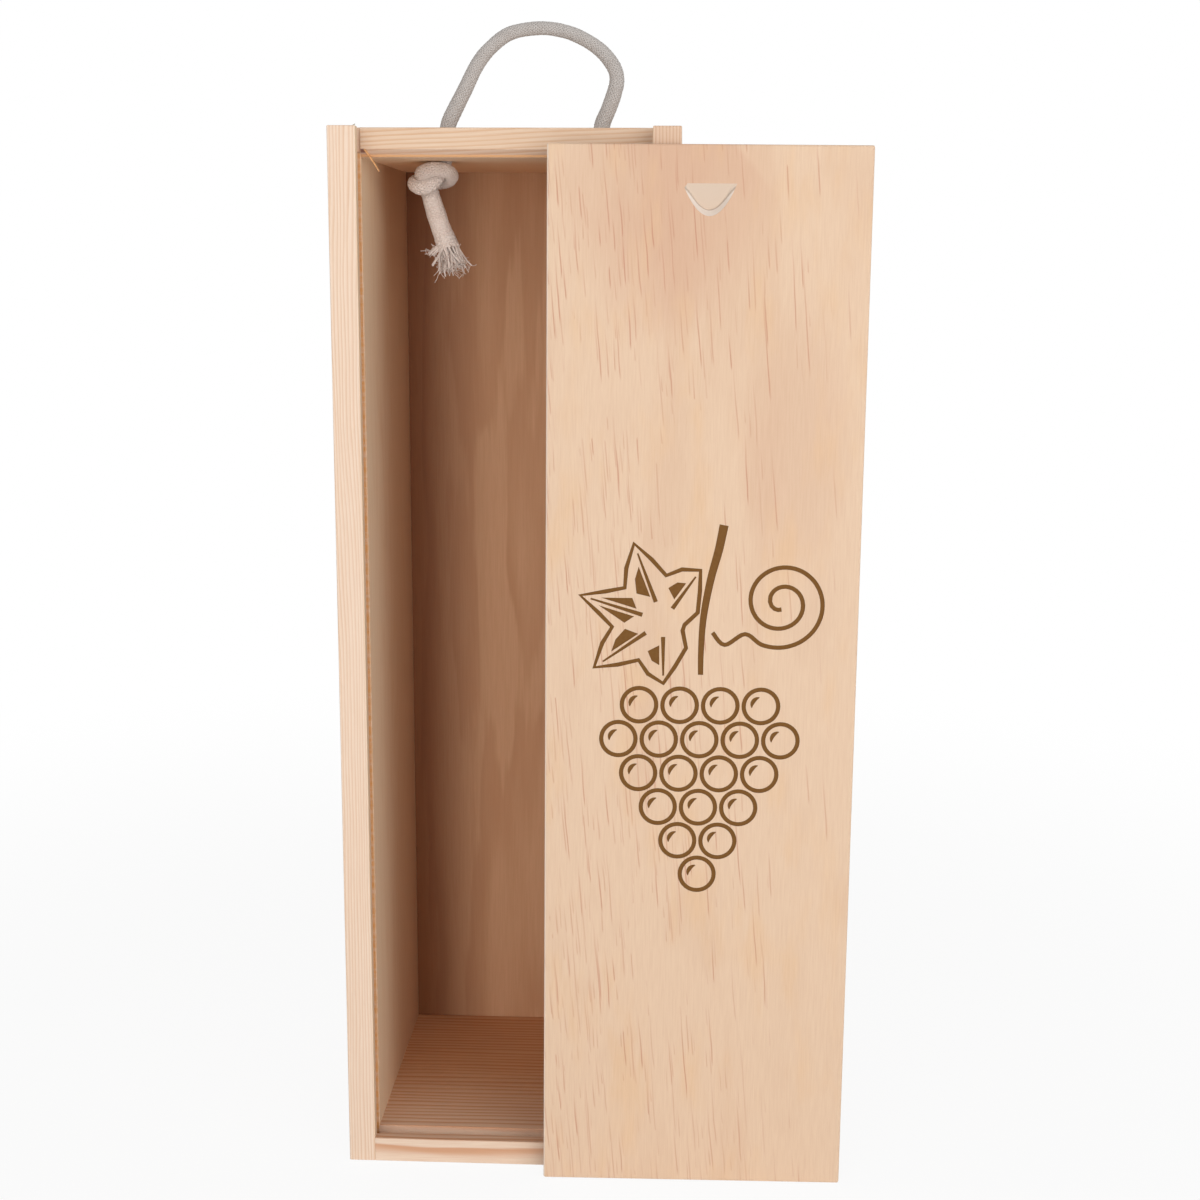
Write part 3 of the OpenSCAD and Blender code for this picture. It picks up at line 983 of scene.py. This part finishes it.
def notch_look(finish, u, y, v, shade):
    """The fresh wood inside the finger notch, its wall a painted highlight and a painted shade line at its
    foot.
    drop is the distance below its upper edge.
    """
    drop = (LID_L - NOTCH_DROP) / MM - v
    aside = (u - LID_W / MM / 2).size()
    inside = finish.ease(y, 0.01, 0.06) * aside.below(NOTCH_W / MM / 2 + 0.1)
    inside = inside * drop.above(-0.1) * drop.below(NOTCH_H / MM + 0.1)
    above_floor = drop * (NOTCH_DEPTH / NOTCH_H) - y
    # Painted light: the wall is painted paler as a highlight, and a darker line is painted as shade where it
    # meets the floor.
    wall = finish.ease(above_floor, 0.15, 0.35)
    line = wall * finish.ease(above_floor, 0.45, 0.8, (1.0, 0.0))
    fresh = finish.mix(wall, colour(214, 192, 172), colour(226, 212, 200))
    fresh = finish.mix(line, fresh, colour(184, 164, 146))
    return finish.mix(inside, shade, fresh)


lid_pine = pine("lid_board_pine", "Z", (50, 900), 9.0, colour(225, 196, 168), colour(216, 182, 153), 0.5,
                origin=lid_place, dress=lid_face)
print("lid wood:", len(lid_pine.node_tree.nodes), "nodes")

# %% [markdown]
# ## The finger notch
# The notch is a gouge cut: its floor slopes down from a straight upper edge, and a slanting wall goes round
# the rest of it in a parabola. A cutter of that shape is made from three outlines, one in front of the face,
# the rim and the floor, bridged to each other and closed, and taken out of the board.

# %% Finger notch
NOTCH_STEPS = 14


def notch_outline(inset, depth):
    """The notch's outline, drawn in by inset, at a depth that grows from nothing at its straight edge."""
    width, height = NOTCH_W / 2 - inset, NOTCH_H - 1.4 * inset
    points = []
    for i in range(-NOTCH_STEPS, NOTCH_STEPS + 1):
        u = i / NOTCH_STEPS
        drop = height * (1 - u * u)
        points.append(Vector((LID_W / 2 + u * width, depth * drop / NOTCH_H, LID_L - NOTCH_DROP - drop)))
    return points


def closed_loop(made, points):
    corners = [made.verts.new(p) for p in points]
    return [made.edges.new((a, b)) for a, b in zip(corners, corners[1:] + corners[:1])]


def notch_cutter():
    made = bmesh.new()
    outside = Vector((0, -MM, 0))
    mouth = closed_loop(made, [p + outside for p in notch_outline(0, 0)])
    rim = closed_loop(made, notch_outline(0, 0))
    floor = closed_loop(made, notch_outline(NOTCH_RIM, NOTCH_DEPTH))
    bmesh.ops.bridge_loops(made, edges=mouth + rim)
    bmesh.ops.bridge_loops(made, edges=rim + floor)
    bmesh.ops.holes_fill(made, edges=made.edges, sides=0)
    bmesh.ops.recalc_face_normals(made, faces=made.faces)
    return finished("notch", made, lid_pine)


# %% [markdown]
# ## The burnt ornament
# The lid carries a drawing that a laser has burnt into the wood: a bunch of grapes with a leaf and a tendril,
# in lines of one width. A painted pattern would stay on the surface, so each line is a shallow channel.
# The lines are ribbons that are pushed into the face and cut out of it, and the cut takes their brown. The
# drawing's own sizes are written in millimetres, from the lid's lower left corner.

# %% Ornament helpers
LINE = 1.4 * MM
BURN_DEPTH = 0.25 * MM
burnt = Finish("burnt_pine", Specular_IOR_Level=0.1)
char = burnt.noise(burnt.place(lid_place), 1.2, 3.0)
burnt.feed(Base_Color=burnt.mix(char, colour(112, 76, 38), colour(128, 90, 50)), Roughness=0.85 + 0.1 * char)


def on_face(u, v):
    """A point just in front of the lid's face, from the millimetres across and up."""
    return Vector((u * MM, -BURN_DEPTH, v * MM))


def ribbon(made, points, closed=False, widths=None):
    """A flat band of the line's width along the points."""
    count = len(points)
    rails = []
    for i, point in enumerate(points):
        before = points[i - 1] if closed or i else point
        after = points[(i + 1) % count] if closed or i + 1 < count else point
        way = (after - before).normalized()
        across = Vector((way.z, 0, -way.x)) * LINE / 2 * (widths[i] if widths else 1)
        rails.append((made.verts.new(point + across), made.verts.new(point - across)))
    ends = rails[1:] + rails[:1] if closed else rails[1:]
    for (a, b), (c, d) in zip(rails, ends):
        made.faces.new((a, b, d, c))


def round_line(middle, radius, start=0, stop=360, steps=36):
    closed = stop - start == 360
    turns = [math.radians(start + (stop - start) * i / steps) for i in range(steps if closed else steps + 1)]
    return [on_face(middle[0] + radius * math.cos(t), middle[1] + radius * math.sin(t)) for t in turns]


def burn_cutter(name, made):
    """Pushes the flat shapes back into the wood as closed solids."""
    grown = bmesh.ops.extrude_face_region(made, geom=made.faces[:])["geom"]
    back = [v for v in grown if isinstance(v, bmesh.types.BMVert)]
    bmesh.ops.translate(made, vec=(0, 2 * BURN_DEPTH, 0), verts=back)
    bmesh.ops.recalc_face_normals(made, faces=made.faces)
    return finished(name, made, burnt.material)


# %% [markdown]
# The grapes are rings in rows, each row half a grape to the side of the one below it and as close as circles
# pack. A short arc in each, thin at its ends, is the shine.

# %% Grapes
GRAPE_PITCH = 13.2
GRAPE_R = 5.6
SHINE_R = 3.0
SHINE_STEPS = 10
GRAPE_ROWS = (1, 2, 3, 4, 5, 4)
BUNCH = (50.4, 109.6)


def grapes():
    made = bmesh.new()
    shine_widths = [math.sin(math.pi * (i + 0.6) / (SHINE_STEPS + 1.2)) for i in range(SHINE_STEPS + 1)]
    for row, number in enumerate(GRAPE_ROWS):
        for k in range(number):
            middle = (BUNCH[0] + (k - (number - 1) / 2) * GRAPE_PITCH,
                      BUNCH[1] + row * GRAPE_PITCH * math.sin(math.pi / 3))
            ribbon(made, round_line(middle, GRAPE_R), closed=True)
            shine = round_line(middle, SHINE_R, 100, 190, SHINE_STEPS)
            ribbon(made, shine, widths=shine_widths)
    return burn_cutter("grapes", made)


# %% [markdown]
# The leaf has five lobes. Its outline is a list of angles and distances from the point where the stalk
# meets it, and the same list gives the veins, which run to the tips, and the dark facets beside them.

# %% Leaf, stalk and tendril
LEAF_BASE = (38, 194.5)
LEAF_TURN = 163
LEAF = [(0, 28), (10, 21), (24, 16.5), (38, 21), (52, 27), (62, 20.5), (76, 15), (92, 18), (108, 20.5),
        (122, 15.5), (148, 11.5), (172, 7)]
# The angles of the lobes' tips, to which the veins run
TIPS = (0, -52, 52, -108, 108)
FACETS = [[(8, 9.5), (3.5, 21.5), (10, 16.5), (20, 12.5)], [(45, 9), (48.5, 19.5), (39, 16.5), (29, 12.5)],
          [(99, 8), (103, 14.5), (92, 13.5), (81, 11)]]
STALK = [(50.4, 177), (50.4, 185), (51, 196), (53, 208), (55.5, 218), (57, 226)]
TENDRIL_START = [(54, 191), (58, 187)]
TENDRIL_MIDDLE = (76, 201)
TENDRIL_R = 15.5
TENDRIL_STEPS = 33


def leaf_point(angle, distance):
    turn = math.radians(LEAF_TURN + angle)
    return on_face(LEAF_BASE[0] + distance * math.cos(turn), LEAF_BASE[1] + distance * math.sin(turn))


def leaf():
    made = bmesh.new()
    both = [(-a, d) for a, d in reversed(LEAF[1:])] + LEAF
    ribbon(made, [leaf_point(a, d) for a, d in both], closed=True)
    reach = dict(LEAF)
    for angle in TIPS:
        vein = [leaf_point(angle, reach[abs(angle)] * t / 8) for t in range(2, 8)]
        ribbon(made, vein, widths=[1.0 - 0.12 * i for i in range(6)])
    for side in (-1, 1):
        for facet in FACETS:
            made.faces.new([made.verts.new(leaf_point(side * a, d)) for a, d in facet])
    return burn_cutter("leaf", made)


def stalk_and_tendril():
    made = bmesh.new()
    stalk = smooth_line([on_face(u, v) for u, v in STALK], 2 * MM)
    ribbon(made, stalk, widths=[1.2 + 0.9 * i / len(stalk) for i in range(len(stalk))])
    coil = [on_face(u, v) for u, v in TENDRIL_START]
    for i in range(TENDRIL_STEPS):
        turn = math.radians(222 + 24 * i)
        radius = TENDRIL_R * (1 - 0.027 * i)
        coil.append(on_face(TENDRIL_MIDDLE[0] + radius * math.cos(turn),
                            TENDRIL_MIDDLE[1] + radius * math.sin(turn)))
    ribbon(made, smooth_line(coil, 1.2 * MM))
    return burn_cutter("stalk", made)


# %% [markdown]
# Now the lid itself: a plain board with rounded edges, from which the notch and the drawing are cut while it
# still lies in its own axes. After that its mesh is put in place, and the object itself stays at the origin.

# %% Lid board
LID_T = 4.6 * MM
LID_ARRIS = 0.6 * MM


def lid_board():
    corners = [Vector(p) for p in ((0, 0, 0), (LID_W, 0, 0), (LID_W, LID_T, 0), (0, LID_T, 0))]
    board = prism(corners, (0, 0, LID_L))
    ease_edges(board, board.edges, LID_ARRIS)
    piece = finished("sliding_lid", board, lid_pine)
    drill(piece, [notch_cutter(), grapes(), leaf(), stalk_and_tendril()])
    piece.data.transform(lid_place)
    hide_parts("lid_panel")
    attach(piece, "lid")
    return piece


lid = lid_board()
print("lid:", len(lid.data.polygons), "faces,", [m.name for m in lid.data.materials])

# %% [markdown]
# ## The case
# Everything that is nailed to the case, and the slivers that hang on it, stays with it when the lid and the
# loop move.

# %% Case pieces
case_pieces = (left_board, right_board, top_board, bottom_board, back_board, *slivers)
for piece in case_pieces:
    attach(piece, "case")
print("case:", [piece.name for piece in case_pieces])

# %% [markdown]
# ## Steel brads
# The brads stay as the solid model has them: they are tiny, and only their heads show. They need nothing
# but the look of dull drawn wire.


# %% Brads
def steel():
    finish = Finish("brad_steel", Metallic=1.0)
    worn = finish.noise(finish.place(), 3.0, 3.0)
    shade = finish.mix(worn, colour(120, 118, 116), colour(176, 174, 170))
    finish.feed(Base_Color=shade, Roughness=0.28 + 0.3 * worn, Normal=finish.bump(worn, 0.2, 0.0001))
    return finish.material


brad_steel = steel()
BRADS = ("left_corner_brads", "right_corner_brads", "left_back_brads", "right_back_brads", "end_back_brads")
for name in BRADS:
    for material_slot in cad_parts[name].material_slots:
        material_slot.material = brad_steel
print("steel on", len(BRADS), "groups of brads")

# %% [markdown]
# ## Floor, backdrop and light
# The floor is a plain white sheet. To the camera, and in reflections, most of its colour comes from a white
# glow of strength 1, so it reads as paper white, while the rest is a true surface that keeps the shadow.
# Further away the glow takes over entirely, and the floor meets the white backdrop without a line.

# %% Floor
FLOOR_SIZE = 4.0
# The share of the floor near the box that is true surface, and the distances, in millimetres, between
# which it gives way to the glow
SHADOW_SHARE = 0.09
SHADOW_REACH = (180, 700)


def seen(finish):
    """One for rays from the camera and for those that reflect or pass through, otherwise nothing."""
    path = finish.tree.nodes.new("ShaderNodeLightPath")
    rays = [Value(finish, path.outputs[n]) for n in ("Is Camera Ray", "Is Glossy Ray", "Is Transmission Ray")]
    return rays[0].most(rays[1]).most(rays[2])


def make_floor():
    made = bmesh.new()
    bmesh.ops.create_grid(made, x_segments=1, y_segments=1, size=FLOOR_SIZE)
    paper = Finish("floor_paper", Base_Color=(0.9, 0.9, 0.9, 1), Roughness=0.9)
    far = paper.ease(paper.vector("LENGTH", paper.place(), out=1), *SHADOW_REACH)
    surface = Value(paper, paper.shader.outputs[0])
    glow = paper.node("ShaderNodeEmission")
    share = 1 - SHADOW_SHARE * (1 - far)
    mixed = paper.node("ShaderNodeMixShader", None, {0: seen(paper) * share, 1: surface, 2: glow})
    paper.plug(paper.tree.nodes["Material Output"].inputs[0], mixed)
    floor = finished("floor", made, paper.material)


make_floor()
print("floor:", 2 * FLOOR_SIZE, "m wide")

# %% [markdown]
# The sky gives an even light from all around. It has two strengths: one that falls on the box, and full white
# for the camera and for reflections.

# %% Sky
SKY_LIGHT = 0.42


class Sky(Finish):
    """The world, written like a material."""

    def __init__(self):
        world = bpy.data.worlds.new("sky")
        bpy.context.scene.world = world
        world.use_nodes = True
        self.tree = world.node_tree


def make_sky(strength):
    sky = Sky()
    even = sky.tree.nodes["Background"]
    even.inputs["Color"].default_value = (1, 1, 1, 1)
    even.inputs["Strength"].default_value = strength
    white = sky.node("ShaderNodeBackground", None, {"Color": (1, 1, 1, 1), "Strength": 1.0})
    mixed = sky.node("ShaderNodeMixShader", None, {0: seen(sky), 1: Value(sky, even.outputs[0]), 2: white})
    sky.plug(sky.tree.nodes["World Output"].inputs[0], mixed)


make_sky(SKY_LIGHT)
print("sky: strength", SKY_LIGHT)

# %% [markdown]
# The lamps are soft and wide. One stands high in front on the left, one to the right, and a weaker one low in
# front reaches the floor of the box. Each is turned to face the middle of the box.

# %% Lamps
LAMP_AIM = Vector((0.03, -0.03, 0.17))


def make_lamp(name, place, size, power):
    lamp = bpy.data.objects.new(name, bpy.data.lights.new(name, "AREA"))
    lamp.data.size = size
    lamp.data.energy = power
    aim = (LAMP_AIM - Vector(place)).to_track_quat("-Z", "Y")
    lamp.matrix_world = Matrix.Translation(place) @ aim.to_matrix().to_4x4()
    bpy.context.collection.objects.link(lamp)


make_lamp("key_light", (-0.45, -1.6, 0.7), 1.1, 6.6)
make_lamp("fill_light", (1.0, -1.25, 0.5), 1.0, 8)
make_lamp("low_light", (0.15, -1.2, 0.12), 0.8, 3.4)
bpy.context.scene.view_settings.view_transform = "Standard"
print("lamps:", len(bpy.data.lights))
